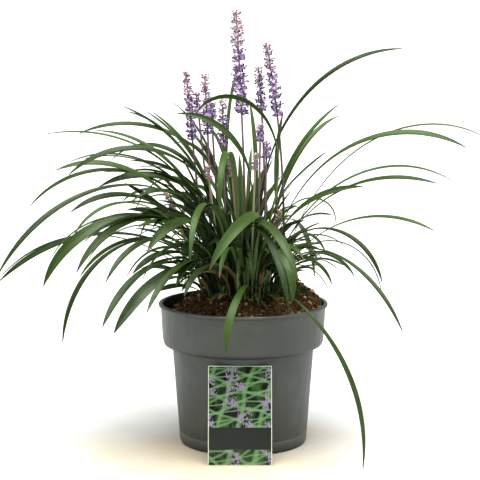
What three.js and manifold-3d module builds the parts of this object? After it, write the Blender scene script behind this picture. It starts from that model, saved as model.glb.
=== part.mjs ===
// A liriope (lilyturf) in its nursery pot: arching strap leaves in twelve tufts, upright flower stems
// with whorled heads, mounded potting soil, and a plain plant card that leans on the pot.
// Millimetres, +Z up. The origin is the centre of the pot's underside, and -Y is the front.
import * as THREE from "three";
import { mergeVertices } from "three/addons/utils/BufferGeometryUtils.js";
import Module from "manifold-3d";

const wasm = await Module();
wasm.setup();

// Pot, from the floor up: radii are of the outer face.
const POT_HEIGHT = 159;
const LIP_RADIUS = 95;
const BAND_TOP_RADIUS = 92.5;
const BAND_FOOT_RADIUS = 90.5;
const BAND_FOOT_HEIGHT = 114;
const BODY_TOP_RADIUS = 79.5;
const BODY_TOP_HEIGHT = 109;
const BASE_LINE_RADIUS = 72.4;
const BASE_LINE_HEIGHT = 14;
const BASE_RADIUS = 69.5;
const WALL = 2;
const FLOOR_THICKNESS = 2.5;
const POT_SEGMENTS = 36;
const DRAIN_HOLES = 6;
const DRAIN_HOLE_RADIUS = 5;
const DRAIN_CIRCLE_RADIUS = 52;

// Soil.
const GAP = 0.3;
const SOIL_EDGE_HEIGHT = 149;
const SOIL_CREST_HEIGHT = 170;
const HEAP = { x: 66, y: 20, height: 15, spread: 24 };
const SOIL_SEGMENTS = POT_SEGMENTS;
const CRUMBS = 16;

// The clump: leaves rise from wedge-shaped crowns round the middle, in one hole in the soil.
const TUFTS = 12;
const WEDGE = 360 / TUFTS;
const LEAVES_PER_TUFT = 11;
const FEWEST_DRAWN_LEAVES = 2;
const TUFT_SEED = 99991; // each tuft draws its leaves from a multiple of this number
const CROWN_INNER_RADIUS = 12;
const CROWN_OUTER_RADIUS = 48;
const CROWN_FOOT = 152;
const CROWN_TOP = 169;
const CHANNEL = 4.4; // open way between neighbouring crowns, where the flower stems stand
const LEAF_START = 166;
const LOWEST_DRAWN_LEAF = 186;
const TALLEST_DRAWN_LEAF = 390;
const LEAF_CLEARANCE = 0.8; // between a drawn leaf and its wedge's sides or a spike

// Leaf blade: a three-cornered section, flat above and with its keel below.
const LEAF_KEEL = 1.3;
const LEAF_STEPS = 40; // steps along the centreline
const LEAF_STATIONS = [0, 6, 13, 20, 27, 33, 37]; // steps that carry a section; the tip is step 40

// Flower stems and heads.
const SCAPE_RADIUS = 1.5;
const RACHIS_RADIUS = 1.4;
const WHORL_SPACING = 8.2;
const WHORL_PROFILE = [[0, 0], [0.3, 1], [0.72, 0.9]]; // rings of one whorl: place, share of reach
const FLORETS = 5;
const BUDS = 4;

// Plant card.
const CARD_WIDTH = 69;
const CARD_LENGTH = 107.5;
const CARD_THICKNESS = 1;
const CARD_CORNER = 1;
const CARD_FOOT = 110.8; // how far its foot stands in front of the pot's middle
const CARD_LEAN = 17; // degrees from upright
const CARD_OFFSET = -3.5;

const LOOKS = {
  pot: { color: 0x6b706e, roughness: 0.55 },
  soil: { color: 0x4a3123, roughness: 0.95 },
  leaf: { color: 0x4c6b33, roughness: 0.5 },
  scape: { color: 0x7d5a55, roughness: 0.6 },
  flower: { color: 0x9a7fc4, roughness: 0.7 },
  bud: { color: 0xb99aa6, roughness: 0.7 },
  card: { color: 0x6d8f58, roughness: 0.35 },
};

// Leaves that give the clump its outline, each a row of azimuth, root radius, length, rise and fall
// (slopes in degrees at the root and the tip), bend (the power by which the slope changes), width,
// sweep where the leaf swings round as it goes, and roll where it turns its face by an angle of its own.
// Otherwise, the wider a blade is that leans to one side, the further it rolls its face to the front.
const LEADING_LEAVES = [
  // right
  [4, 20, 360, 95, 0, 1.7, 8],
  [-9, 26, 335, 85, -30, 1.4, 9],
  [1, 34, 345, 75, -30, 1.7, 4.5],
  [-7, 42, 180, 100, -110, 2.5, 4],
  [28, 20, 245, 85, 30, 1.6, 6],
  [38, 26, 240, 80, 15, 2.2, 7],
  [21, 32, 305, 80, -30, 1.1, 6],
  [26, 44, 200, 95, -80, 0.8, 5],
  [34, 14, 215, 105, 20, 0.8, 6, -105],
  [65, 18, 230, 75, 60, 1.9, 5, 45],
  [-8, 45, 210, 95, 60, 4, 5, -60, 60],
  [-24, 28, 270, 80, -15, 1.1, 8],
  [-28, 32, 240, 65, -25, 1.2, 7],
  [-33, 36, 220, 100, -75, 1, 7],
  [-35, 14, 265, 115, -60, 0.5, 6, -10],
  [-70, 28, 300, 95, -95, 0.4, 8, 75],
  // front
  [-53, 32, 250, 115, -65, 0.9, 13, -95],
  [-54, 45, 195, 95, 0, 1.1, 7, 45, -90],
  [-65, 15, 305, 65, 240, 3, 7, 65, -75],
  [-66, 42, 165, 100, -110, 1.2, 10],
  [-92, 18, 245, 100, -70, 1, 10, 40],
  [-90, 15, 265, 115, -80, 0.8, 8, 30],
  [-86, 40, 260, 115, -5, 1.9, 8, -115, 90],
  [-83, 40, 165, 45, -100, 1.3, 9, -45],
  [-99, 45, 300, 100, -120, 2.2, 8, 0],
  [-115, 45, 245, 100, -85, 1.4, 8, 15],
  // left
  [180, 20, 320, 115, -25, 1.1, 8, 5],
  [187, 28, 265, 75, -25, 1.7, 9],
  [174, 32, 315, 100, -50, 1, 8],
  [182, 30, 295, 85, -45, 0.6, 10, -15],
  [170, 44, 280, 55, -50, 1, 5],
  [178, 36, 200, 95, -60, 0.8, 8],
  [217, 34, 310, 110, -45, 1.2, 9, -30],
  [176, 24, 245, 115, -30, 1, 10, 15],
  [218, 30, 390, 115, -60, 0.7, 8, -10],
  [212, 38, 245, 75, -35, 1.5, 9],
  [220, 40, 255, 65, -55, 1.9, 6],
  [202, 40, 275, 95, -70, 0.9, 13],
  [219, 43, 260, 100, -60, 0.9, 10],
  [209, 31, 290, 80, -85, 0.9, 7, 15],
  [221, 45, 215, 110, -55, 0.5, 9, 15],
  [230, 36, 230, 65, -55, 1.3, 8],
  [240, 39, 220, 105, -55, 0.5, 13, -20],
  [241, 44, 200, 100, -50, 0.6, 8],
  [236, 24, 220, 95, -45, 1, 13],
  [247, 46, 140, 75, -50, 1, 8],
  [222, 44, 200, 95, -35, 1.7, 8, -10],
  [219, 45, 160, 95, -50, 1.9, 9, 0],
  [217, 45, 145, 105, -45, 0.8, 9, 0],
  [229, 45, 165, 110, -65, 0.7, 7, -45],
  [238, 45, 140, 85, -50, 1, 8, 10],
  // back
  [138, 45, 315, 105, -10, 0.8, 5, 40],
  [149, 32, 280, 100, -45, 1.5, 8],
  [158, 38, 265, 95, -60, 0.8, 8],
  [144, 44, 165, 95, -60, 0.7, 9],
  [120, 27, 270, 80, 55, 2.7, 4, -60],
  [66, 42, 260, 95, -80, 0.8, 9],
  [84, 40, 225, 95, -75, 0.8, 11],
  [96, 32, 300, 95, -50, 1.1, 10],
  [112, 42, 240, 95, -85, 0.8, 8],
  [124, 36, 290, 95, -55, 1, 11],
];

// Flower stems: azimuth, root, waist and top (radii from the middle at the foot, as a control point
// half way up, and at the tip), the heights where the head starts and ends, its radius, and its look.
const SPIKES = [
  [180, -4, -3, 8, 368, 485, 6.6, "flower"],
  [15, 44, 56, 26, 366, 450, 6.4, "flower"],
  [45, 34, 40, 24, 371, 423, 6, "flower"],
  [165, 38, 54, 66, 339, 418, 5.4, "flower"],
  [195, 36, 36, 44, 348, 416, 5.6, "flower"],
  [135, 40, 56, 76, 362, 393, 5, "flower"],
  [135, 26, 44, 51, 360, 382, 5, "flower"],
  [195, 20, 20, 24, 336, 389, 6, "flower"],
  [315, 22, 24, 27, 340, 362, 4.6, "flower"],
  [345, 24, 25, 27, 320, 342, 5, "flower"],
  [255, 24, 20, 55, 304, 330, 3.6, "bud"],
  [225, 30, 40, 56, 300, 318, 3.4, "bud"],
  [285, 28, 40, 52, 312, 332, 3.6, "bud"],
  [315, 38, 40, 58, 249, 270, 3.8, "bud"],
  [195, 41, 58, 90, 264, 288, 3.6, "bud"],
];

let seed = 7;
// A repeatable random number from 0 to 1.
function random() {
  seed = (seed * 48271) % 2147483647;
  return seed / 2147483647;
}

const radians = (degrees) => (degrees * Math.PI) / 180;
const mix = (from, to, share) => from + (to - from) * share;

// A closed geometry as a solid that can be joined and cut.
function solidOf(geometry) {
  const bare = new THREE.BufferGeometry();
  bare.setAttribute("position", geometry.getAttribute("position"));
  if (geometry.index) bare.setIndex(geometry.index);
  const merged = mergeVertices(bare, 1e-4);
  const mesh = new wasm.Mesh({
    numProp: 3,
    vertProperties: new Float32Array(merged.attributes.position.array),
    triVerts: new Uint32Array(merged.index.array),
  });
  return new wasm.Manifold(mesh);
}

function joined(solids) {
  return solids.reduce((all, next) => all.add(next));
}

const plant = new THREE.Group();

function addPiece(name, solid, look) {
  const mesh = solid.getMesh();
  const geometry = new THREE.BufferGeometry();
  geometry.setAttribute("position", new THREE.BufferAttribute(mesh.vertProperties, 3));
  geometry.setIndex(new THREE.BufferAttribute(mesh.triVerts, 1));
  geometry.computeVertexNormals();
  const material = new THREE.MeshStandardMaterial({ ...LOOKS[look], metalness: 0 });
  const piece = new THREE.Mesh(geometry, material);
  piece.name = name;
  plant.add(piece);
}

// A solid of revolution about Z from [radius, height] points that start and end on the axis.
function turned(points, segments) {
  const profile = points.map(([radius, height]) => new THREE.Vector2(radius, height));
  return new THREE.LatheGeometry(profile, segments).rotateX(Math.PI / 2);
}

function cylinder(radius, bottom, top, segments) {
  return turned([[0, bottom], [radius, bottom], [radius, top], [0, top]], segments);
}

// A closed skin over rings of points, from a flat first ring to a point or a flat last ring. The
// diagonals alternate round the ring, so that both faces of a thin blade are split alike.
function loft(rings, tip) {
  const count = rings[0].length;
  const positions = rings.flat().flatMap((p) => [p.x, p.y, p.z]);
  const faces = [];
  for (let j = 1; j < count - 1; j++) faces.push(0, j + 1, j);
  for (let i = 0; i < rings.length - 1; i++) {
    for (let j = 0; j < count; j++) {
      const a = i * count + j;
      const b = i * count + ((j + 1) % count);
      const c = a + count;
      const d = b + count;
      if (j % 2) faces.push(a, b, c, b, d, c);
      else faces.push(a, b, d, a, d, c);
    }
  }
  const last = (rings.length - 1) * count;
  if (tip) {
    positions.push(tip.x, tip.y, tip.z);
    for (let j = 0; j < count; j++) faces.push(last + j, last + ((j + 1) % count), last + count);
  } else {
    for (let j = 1; j < count - 1; j++) faces.push(last, last + j, last + j + 1);
  }
  const geometry = new THREE.BufferGeometry();
  geometry.setAttribute("position", new THREE.Float32BufferAttribute(positions, 3));
  geometry.setIndex(faces);
  return geometry;
}

// ---- Pot ----------------------------------------------------------------------------------------

const innerRadius = (outer) => outer - WALL;

function makePot() {
  const outside = [
    [0, 0],
    [BASE_RADIUS - 3, 0],
    [BASE_RADIUS, 0.8],
    [BASE_LINE_RADIUS - 1, 3.5],
    [BASE_LINE_RADIUS - 0.3, 8],
    [BASE_LINE_RADIUS, BASE_LINE_HEIGHT],
    [BODY_TOP_RADIUS, BODY_TOP_HEIGHT],
    [BAND_FOOT_RADIUS - 8, BAND_FOOT_HEIGHT - 3.5],
    [BAND_FOOT_RADIUS - 3.5, BAND_FOOT_HEIGHT - 2],
    [BAND_FOOT_RADIUS - 0.8, BAND_FOOT_HEIGHT + 1],
    [BAND_FOOT_RADIUS, BAND_FOOT_HEIGHT + 5],
    [BAND_TOP_RADIUS, POT_HEIGHT - 4.5],
    [LIP_RADIUS - 0.6, POT_HEIGHT - 3.4],
    [LIP_RADIUS, POT_HEIGHT - 2],
    [LIP_RADIUS - 0.6, POT_HEIGHT - 0.5],
    [LIP_RADIUS - 1.6, POT_HEIGHT],
  ];
  const inside = [
    [innerRadius(BAND_TOP_RADIUS), POT_HEIGHT],
    [innerRadius(BAND_FOOT_RADIUS), BAND_FOOT_HEIGHT + 4],
    [innerRadius(BODY_TOP_RADIUS), BODY_TOP_HEIGHT],
    [innerRadius(BASE_LINE_RADIUS), BASE_LINE_HEIGHT],
    [innerRadius(BASE_RADIUS), FLOOR_THICKNESS],
    [0, FLOOR_THICKNESS],
  ];
  let pot = solidOf(turned([...outside, ...inside], POT_SEGMENTS));
  for (let i = 0; i < DRAIN_HOLES; i++) {
    const angle = radians((i * 360) / DRAIN_HOLES);
    const hole = cylinder(DRAIN_HOLE_RADIUS, -1, FLOOR_THICKNESS + 1, 12);
    hole.translate(DRAIN_CIRCLE_RADIUS * Math.cos(angle), DRAIN_CIRCLE_RADIUS * Math.sin(angle), 0);
    pot = pot.subtract(solidOf(hole));
  }
  addPiece("pot", pot, "pot");
}

// ---- Soil ---------------------------------------------------------------------------------------

// Height of the soil: a mound round the clump, with a heap on its right.
function soilHeight(x, y) {
  const outward = Math.min(1, Math.hypot(x, y) / innerRadius(BAND_TOP_RADIUS));
  const mound = 0.5 + 0.5 * Math.cos(Math.PI * Math.max(0, (outward - 0.5) / 0.5));
  const lean = (0.05 * x + 0.03 * y) * (1 - mound);
  const lumps = 1.4 * Math.sin(0.13 * x + 1) * Math.cos(0.11 * y);
  const heap = HEAP.height * Math.exp(-((x - HEAP.x) ** 2 + (y - HEAP.y) ** 2) / HEAP.spread ** 2);
  return mix(SOIL_EDGE_HEIGHT, SOIL_CREST_HEIGHT, mound) + lean + heap + lumps * outward;
}

function makeSoil() {
  const radiusIn = (outer) => innerRadius(outer) - GAP;
  const surface = [0.97, 0.88, 0.78, 0.68, 0.56, 0];
  const outline = [
    [0, FLOOR_THICKNESS + GAP],
    [radiusIn(BASE_RADIUS) - 0.5, FLOOR_THICKNESS + GAP],
    [radiusIn(BASE_LINE_RADIUS), BASE_LINE_HEIGHT],
    [radiusIn(BODY_TOP_RADIUS), BODY_TOP_HEIGHT],
    [radiusIn(BAND_FOOT_RADIUS), BAND_FOOT_HEIGHT + 4.3],
    [radiusIn(BAND_FOOT_RADIUS) + 0.9, SOIL_EDGE_HEIGHT - 4],
    ...surface.map((share) => [radiusIn(BAND_TOP_RADIUS) * share, SOIL_CREST_HEIGHT]),
  ];
  const fill = turned(outline, SOIL_SEGMENTS);
  const position = fill.getAttribute("position");
  for (let i = 0; i < position.count; i++) {
    if (position.getZ(i) < SOIL_EDGE_HEIGHT) continue;
    position.setZ(i, soilHeight(position.getX(i), position.getY(i)));
  }
  const parts = [solidOf(fill)];
  for (let i = 0; i < CRUMBS; i++) {
    const radius = mix(CROWN_OUTER_RADIUS + 8, radiusIn(BAND_TOP_RADIUS) - 8, Math.sqrt(random()));
    const angle = radians(360 * random());
    const size = 2.4 + 2.2 * random();
    const crumb = new THREE.OctahedronGeometry(size).scale(1.5, 1, 0.7).rotateZ(6 * random());
    const x = radius * Math.cos(angle);
    const y = radius * Math.sin(angle);
    parts.push(solidOf(crumb.translate(x, y, soilHeight(x, y) + 0.1 * size)));
  }
  const hole = cylinder(CROWN_OUTER_RADIUS + 1, CROWN_FOOT - GAP, SOIL_CREST_HEIGHT + 20, 36);
  addPiece("soil", joined(parts).subtract(solidOf(hole)), "soil");
}

// ---- Flower stems and heads ---------------------------------------------------------------------

const spikes = SPIKES.map(([azimuth, root, waist, top, start, tip, radius, look]) => ({
  azimuth: radians(azimuth),
  root,
  waist,
  top,
  start,
  tip,
  radius,
  look,
}));

// Where a spike's middle is at one height.
function spikePoint(spike, height) {
  const t = (height - CROWN_FOOT) / (spike.tip - CROWN_FOOT);
  const radius = (1 - t) ** 2 * spike.root + 2 * t * (1 - t) * spike.waist + t * t * spike.top;
  return new THREE.Vector3(
    radius * Math.cos(spike.azimuth),
    radius * Math.sin(spike.azimuth),
    height,
  );
}

function ring(centre, radius, sides) {
  return Array.from({ length: sides }, (_, i) => {
    const angle = (2 * Math.PI * i) / sides;
    return new THREE.Vector3(radius * Math.cos(angle), radius * Math.sin(angle), 0).add(centre);
  });
}

function makeStem(spike, name) {
  const heights = [0, 0.35, 0.7, 1].map((share) => mix(CROWN_FOOT, spike.start - GAP, share));
  const rings = heights.map((height) => ring(spikePoint(spike, height), SCAPE_RADIUS, 5));
  addPiece(name, solidOf(loft(rings)), "scape");
}

// A head: whorls of florets raised from a slim rachis, which shrink to buds towards the tip. A ring
// holds a floret at every other point, and the next whorl has them at the points between.
function makeHead(spike, name) {
  const length = spike.tip - spike.start;
  const whorls = Math.max(2, Math.round(length / WHORL_SPACING));
  const points = 2 * (spike.look === "flower" ? FLORETS : BUDS);
  const rings = [];
  for (let i = 0; i < whorls; i++) {
    const reach = mix(spike.radius, 0.5 * spike.radius, (i / whorls) ** 1.4);
    for (const [share, size] of WHORL_PROFILE) {
      const centre = spikePoint(spike, spike.start + (length * (i + share)) / whorls);
      const swelling = Array.from({ length: points }, (_, j) => {
        const radius = (i + j) % 2 ? RACHIS_RADIUS : Math.max(RACHIS_RADIUS, size * reach);
        const angle = (2 * Math.PI * j) / points;
        return new THREE.Vector3(radius * Math.cos(angle), radius * Math.sin(angle), 0).add(centre);
      });
      rings.push(swelling);
    }
  }
  addPiece(name, solidOf(loft(rings, spikePoint(spike, spike.tip))), spike.look);
}

// ---- Leaves -------------------------------------------------------------------------------------

// Blade width along a leaf: a long narrow lower part, widest at three quarters, then a short point.
function bladeWidth(width, share) {
  const opening = Math.min(1, Math.max(0, (share - 0.2) / 0.6));
  const swell = 0.26 + 0.74 * Math.sin((Math.PI / 2) * opening) ** 2;
  return width * swell * (1 - share ** 10);
}

// The centreline's points, with the slope and heading at each.
function leafPath(leaf) {
  const step = leaf.length / LEAF_STEPS;
  let x = leaf.root * Math.cos(leaf.azimuth);
  let y = leaf.root * Math.sin(leaf.azimuth);
  let z = LEAF_START;
  const path = [{ x, y, z, slope: leaf.rise, heading: leaf.azimuth, share: 0 }];
  for (let i = 0; i < LEAF_STEPS; i++) {
    const along = (i + 0.5) / LEAF_STEPS;
    const slope = mix(leaf.rise, leaf.fall, along ** leaf.bend);
    const heading = leaf.azimuth + leaf.sweep * along;
    x += step * Math.cos(slope) * Math.cos(heading);
    y += step * Math.cos(slope) * Math.sin(heading);
    z += step * Math.sin(slope);
    path.push({ x, y, z, slope, heading, share: (i + 1) / LEAF_STEPS });
  }
  return path;
}

// The corners of the blade's section at one place: its two edges, then its keel.
function bladeSection(leaf, place) {
  const { slope, heading, share } = place;
  const side = new THREE.Vector3(Math.sin(heading), -Math.cos(heading), 0);
  const up = new THREE.Vector3(
    -Math.sin(slope) * Math.cos(heading),
    -Math.sin(slope) * Math.sin(heading),
    Math.cos(slope),
  );
  const twist = leaf.twist * share ** 1.5;
  const across = side.clone().multiplyScalar(Math.cos(twist)).addScaledVector(up, Math.sin(twist));
  const above = up.clone().multiplyScalar(Math.cos(twist)).addScaledVector(side, -Math.sin(twist));
  const half = bladeWidth(leaf.width, share) / 2;
  const at = (sideways, upwards) =>
    new THREE.Vector3(place.x, place.y, place.z)
      .addScaledVector(across, sideways)
      .addScaledVector(above, upwards);
  return [at(-half, 0), at(half, 0), at(0, -LEAF_KEEL)];
}

function bladeSolid(leaf) {
  const path = leafPath(leaf);
  const rings = LEAF_STATIONS.map((step) => bladeSection(leaf, path[step]));
  return solidOf(loft(rings, new THREE.Vector3().copy(path[LEAF_STEPS])));
}

// Whether a leaf keeps to its tuft's wedge and height, and misses the flower spikes.
function isClear(leaf, middle) {
  return leafPath(leaf).every(({ x, y, z, share }) => {
    const reach = bladeWidth(leaf.width, share) / 2 + LEAF_CLEARANCE;
    const turn = Math.atan2(y, x) - middle;
    const offset = Math.atan2(Math.sin(turn), Math.cos(turn));
    const room = Math.hypot(x, y) * Math.sin(radians(WEDGE / 2) - Math.abs(offset));
    if (room < reach) return false;
    if (share > 0.2 && z < LOWEST_DRAWN_LEAF) return false;
    if (z > TALLEST_DRAWN_LEAF) return false;
    return spikes.every((spike) => {
      if (z > spike.tip + 3) return true;
      const centre = spikePoint(spike, z);
      const thick = z > spike.start - 4 ? spike.radius : SCAPE_RADIUS;
      return Math.hypot(x - centre.x, y - centre.y) > reach + thick;
    });
  });
}

// A leaf drawn at random for a place in its tuft: tier 0 is low and outermost, 1 upright and inmost.
// The clump has its longest leaves on the left and at the back.
function drawnLeaf(tier, middle) {
  const reach = 0.73 - 0.27 * Math.cos(middle) + 0.1 * Math.sin(middle);
  return {
    azimuth: middle + radians(22 * (random() - 0.5)),
    root: mix(43, 17, tier) + 4 * (random() - 0.5),
    length: reach * (180 + 100 * random()),
    rise: radians(86 + 10 * random()),
    fall: radians(mix(-85, 50, tier) + 40 * (random() - 0.5)),
    bend: mix(0.8, 1.7, tier) + 0.4 * (random() - 0.5),
    width: 4 + 4.5 * random(),
    sweep: radians(12 * (random() - 0.5)),
    twist: radians(120 * (random() - 0.5)),
  };
}

function leadingLeaves(tuft) {
  const ofTuft = LEADING_LEAVES.filter(([azimuth]) => {
    return (Math.round(azimuth / WEDGE) + TUFTS) % TUFTS === tuft;
  });
  return ofTuft.map(([azimuth, root, length, rise, fall, bend, width, sweep = 0, roll]) => ({
    azimuth: radians(azimuth),
    root,
    length,
    rise: radians(rise),
    fall: radians(fall),
    bend,
    width,
    sweep: radians(sweep),
    twist: radians(roll ?? -10 * (width - 4) * Math.cos(radians(azimuth + sweep))),
  }));
}

// A wedge of joined leaf bases that the blades of one tuft rise from.
function crownSolid(middle) {
  const halfAngle = (radius) => radians(WEDGE / 2) - Math.asin(CHANNEL / 2 / radius);
  const corners = [
    [CROWN_INNER_RADIUS, -1],
    [CROWN_OUTER_RADIUS, -1],
    [CROWN_OUTER_RADIUS, 0],
    [CROWN_OUTER_RADIUS, 1],
    [CROWN_INNER_RADIUS, 1],
  ];
  const outline = corners.map(([radius, side]) => {
    const angle = middle + side * halfAngle(radius);
    return new THREE.Vector2(radius * Math.cos(angle), radius * Math.sin(angle));
  });
  const block = new THREE.ExtrudeGeometry(new THREE.Shape(outline), {
    depth: CROWN_TOP - CROWN_FOOT,
    bevelEnabled: false,
  });
  return solidOf(block.translate(0, 0, CROWN_FOOT));
}

function makeTuft(tuft) {
  seed = (tuft + 1) * TUFT_SEED;
  const middle = radians(tuft * WEDGE);
  const leaves = leadingLeaves(tuft);
  const drawn = Math.max(FEWEST_DRAWN_LEAVES, LEAVES_PER_TUFT - leaves.length);
  for (let i = 0; i < drawn; i++) {
    let leaf = drawnLeaf((i + 0.5) / drawn, middle);
    while (!isClear(leaf, middle)) leaf = drawnLeaf((i + 0.5) / drawn, middle);
    leaves.push(leaf);
  }
  const number = String(tuft + 1).padStart(2, "0");
  addPiece("leaf_tuft_" + number, joined([crownSolid(middle), ...leaves.map(bladeSolid)]), "leaf");
}

// ---- Plant card ---------------------------------------------------------------------------------

function makeCard() {
  const half = CARD_WIDTH / 2;
  const inner = half - CARD_CORNER;
  const outline = new THREE.Shape();
  outline.moveTo(-inner, 0);
  outline.lineTo(inner, 0);
  outline.absarc(inner, CARD_CORNER, CARD_CORNER, -Math.PI / 2, 0);
  outline.absarc(inner, CARD_LENGTH - CARD_CORNER, CARD_CORNER, 0, Math.PI / 2);
  outline.absarc(-inner, CARD_LENGTH - CARD_CORNER, CARD_CORNER, Math.PI / 2, Math.PI);
  outline.absarc(-inner, CARD_CORNER, CARD_CORNER, Math.PI, 1.5 * Math.PI);
  const card = new THREE.ExtrudeGeometry(outline, {
    depth: CARD_THICKNESS,
    bevelEnabled: false,
    curveSegments: 3,
  });
  card.rotateX(Math.PI / 2 - radians(CARD_LEAN));
  card.translate(CARD_OFFSET, -CARD_FOOT, 0);
  addPiece("plant_card", solidOf(card), "card");
}

makePot();
makeSoil();
spikes.forEach((spike, i) => {
  const number = String(i + 1).padStart(2, "0");
  makeStem(spike, "flower_stem_" + number);
  makeHead(spike, "flower_head_" + number);
});
for (let tuft = 0; tuft < TUFTS; tuft++) makeTuft(tuft);
makeCard();

export default plant;
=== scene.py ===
"""A liriope (lilyturf) in its nursery pot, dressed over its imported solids.

The clump is grown again from the numbers that its solids were grown from, with folded and veined
blades, whorls of single florets and a crumbly potting mix. Everything is placed in metres, +Z up,
with -Y to the front and the origin at the centre of the pot's underside. Sizes inside the classes
are millimetres, as a grower would give them.
"""

import logging
import math
import random
from dataclasses import dataclass, field
from enum import Enum
from typing import Callable, NamedTuple, Sequence

import bmesh
import bpy
from mathutils import Matrix, Vector, noise


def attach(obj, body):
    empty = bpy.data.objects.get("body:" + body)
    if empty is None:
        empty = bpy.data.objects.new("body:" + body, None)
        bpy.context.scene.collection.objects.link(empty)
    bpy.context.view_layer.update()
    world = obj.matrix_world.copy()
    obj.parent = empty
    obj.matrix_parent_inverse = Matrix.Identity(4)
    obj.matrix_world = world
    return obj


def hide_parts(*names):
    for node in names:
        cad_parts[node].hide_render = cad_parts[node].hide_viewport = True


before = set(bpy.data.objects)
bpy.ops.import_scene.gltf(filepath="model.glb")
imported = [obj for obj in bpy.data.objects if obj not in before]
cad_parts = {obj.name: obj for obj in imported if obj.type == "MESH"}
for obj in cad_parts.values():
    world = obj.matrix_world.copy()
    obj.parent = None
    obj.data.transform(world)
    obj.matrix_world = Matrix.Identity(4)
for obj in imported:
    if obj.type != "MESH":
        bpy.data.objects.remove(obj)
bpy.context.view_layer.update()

log = logging.getLogger("liriope")
MM = 0.001
Colour = tuple[float, float, float, float]
Socket = bpy.types.NodeSocket
Value = float | tuple[float, ...] | Socket


def colour(code: str) -> Colour:
    """Turns an sRGB hex value to a linear colour.

    Args:
        code: Six hex digits, such as "6b706e".

    Returns:
        Red, green, blue and an alpha of 1.
    """
    parts = [int(code[i : i + 2], 16) / 255 for i in (0, 2, 4)]
    linear = [p / 12.92 if p <= 0.04045 else ((p + 0.055) / 1.055) ** 2.4 for p in parts]
    return linear[0], linear[1], linear[2], 1.0


def mix(start: float, end: float, share: float) -> float:
    """Blends two numbers: all start at share 0, all end at share 1."""
    return start + (end - start) * share


def clamp(value: float) -> float:
    """Keeps a number between 0 and 1."""
    return min(1.0, max(0.0, value))


# ---- Finishes -------------------------------------------------------------------------------------


class Wiring:
    """A node tree round its main shader, with a short call for each kind of node that feeds it."""

    def __init__(self, tree: bpy.types.NodeTree, shader: str) -> None:
        """Takes the tree, and the name of the main shader in it."""
        self.tree = tree
        self.shader = tree.nodes[shader]

    def feed(self, node: bpy.types.Node, inputs: dict[int | str, Value]) -> None:
        """Gives a node what its inputs take.

        Args:
            node: The node.
            inputs: A plain value or another node's output for each input, by name or number.
        """
        for key, value in inputs.items():
            if isinstance(value, Socket):
                self.tree.links.new(value, node.inputs[key])
            else:
                node.inputs[key].default_value = value

    def shade(self, inputs: dict[str, Value]) -> None:
        """Gives the main shader what its inputs take."""
        self.feed(self.shader, inputs)

    def add(
        self,
        kind: str,
        inputs: dict[int | str, Value],
        **settings: str | bool,
    ) -> bpy.types.Node:
        """Adds a node.

        Args:
            kind: The node's type name, without its "ShaderNode".
            inputs: What its inputs take.
            settings: Its other settings.

        Returns:
            The new node.
        """
        node = self.tree.nodes.new("ShaderNode" + kind)
        for name, setting in settings.items():
            setattr(node, name, setting)
        self.feed(node, inputs)
        return node

    def place(self, kind: str = "Object") -> Socket:
        """Gives the surface's own coordinates of one kind."""
        return self.add("TexCoord", {}).outputs[kind]

    def number(self, attribute: str) -> Socket:
        """Reads a number that the mesh carries."""
        return self.add("Attribute", {}, attribute_name=attribute).outputs["Fac"]

    def numbers(self, attribute: str) -> tuple[Socket, Socket, Socket, Socket]:
        """Reads four numbers that the mesh carries as a colour with its alpha.

        Args:
            attribute: The colour attribute's name.

        Returns:
            Its red, green, blue and alpha.
        """
        source = self.add("Attribute", {}, attribute_name=attribute)
        parts = self.add("SeparateColor", {0: source.outputs["Color"]}).outputs
        return parts[0], parts[1], parts[2], source.outputs["Alpha"]

    def calculate(self, operation: str, *values: Value, clamped: bool = False) -> Socket:
        """Works out a number from others.

        Args:
            operation: What is done, such as "MULTIPLY".
            values: What it is done to.
            clamped: Whether the result stays between 0 and 1.

        Returns:
            The result.
        """
        given = dict(enumerate(values))
        return self.add("Math", given, operation=operation, use_clamp=clamped).outputs[0]

    def rescale(
        self,
        value: Socket,
        low: float,
        high: float,
        start: Value = 0.0,
        end: Value = 1.0,
    ) -> Socket:
        """Turns one span of a number to another, and goes past neither end.

        Args:
            value: The number.
            low: Where the first span starts.
            high: Where it ends.
            start: What low turns to.
            end: What high turns to.

        Returns:
            The new number.
        """
        spans = {"From Min": low, "From Max": high, "To Min": start, "To Max": end}
        return self.add("MapRange", {"Value": value, **spans}).outputs[0]

    def blend(self, share: Socket, start: str | Socket, end: str | Socket) -> Socket:
        """Blends two colours.

        Args:
            share: 0 for all start, 1 for all end.
            start: A colour, or its hex value.
            end: Another one.

        Returns:
            The blended colour.
        """
        first, second = (colour(c) if isinstance(c, str) else c for c in (start, end))
        return self.add("Mix", {0: share, 6: first, 7: second}, data_type="RGBA").outputs[2]

    def clouds(
        self,
        place: Socket,
        scale: float,
        detail: float,
        coarseness: float = 0.5,
        distortion: float = 0.0,
    ) -> Socket:
        """Gives a cloudy pattern of numbers round 0.5.

        Args:
            place: The coordinates that it lies on.
            scale: Clouds to a unit of length.
            detail: How many finer layers it has.
            coarseness: How strong these are.
            distortion: How far it is bent.

        Returns:
            The number at each place.
        """
        look = {"Scale": scale, "Detail": detail, "Roughness": coarseness}
        inputs = {"Vector": place, **look, "Distortion": distortion}
        return self.add("TexNoise", inputs).outputs[0]

    def bump(self, height: Socket, strength: float, distance: float) -> Socket:
        """Gives the normals of a surface that is raised where a number is high.

        Args:
            height: The number.
            strength: How much of it shows.
            distance: How far 1 is above 0, in metres.

        Returns:
            The normals.
        """
        relief = {"Height": height, "Strength": strength, "Distance": distance}
        return self.add("Bump", relief).outputs[0]


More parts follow.
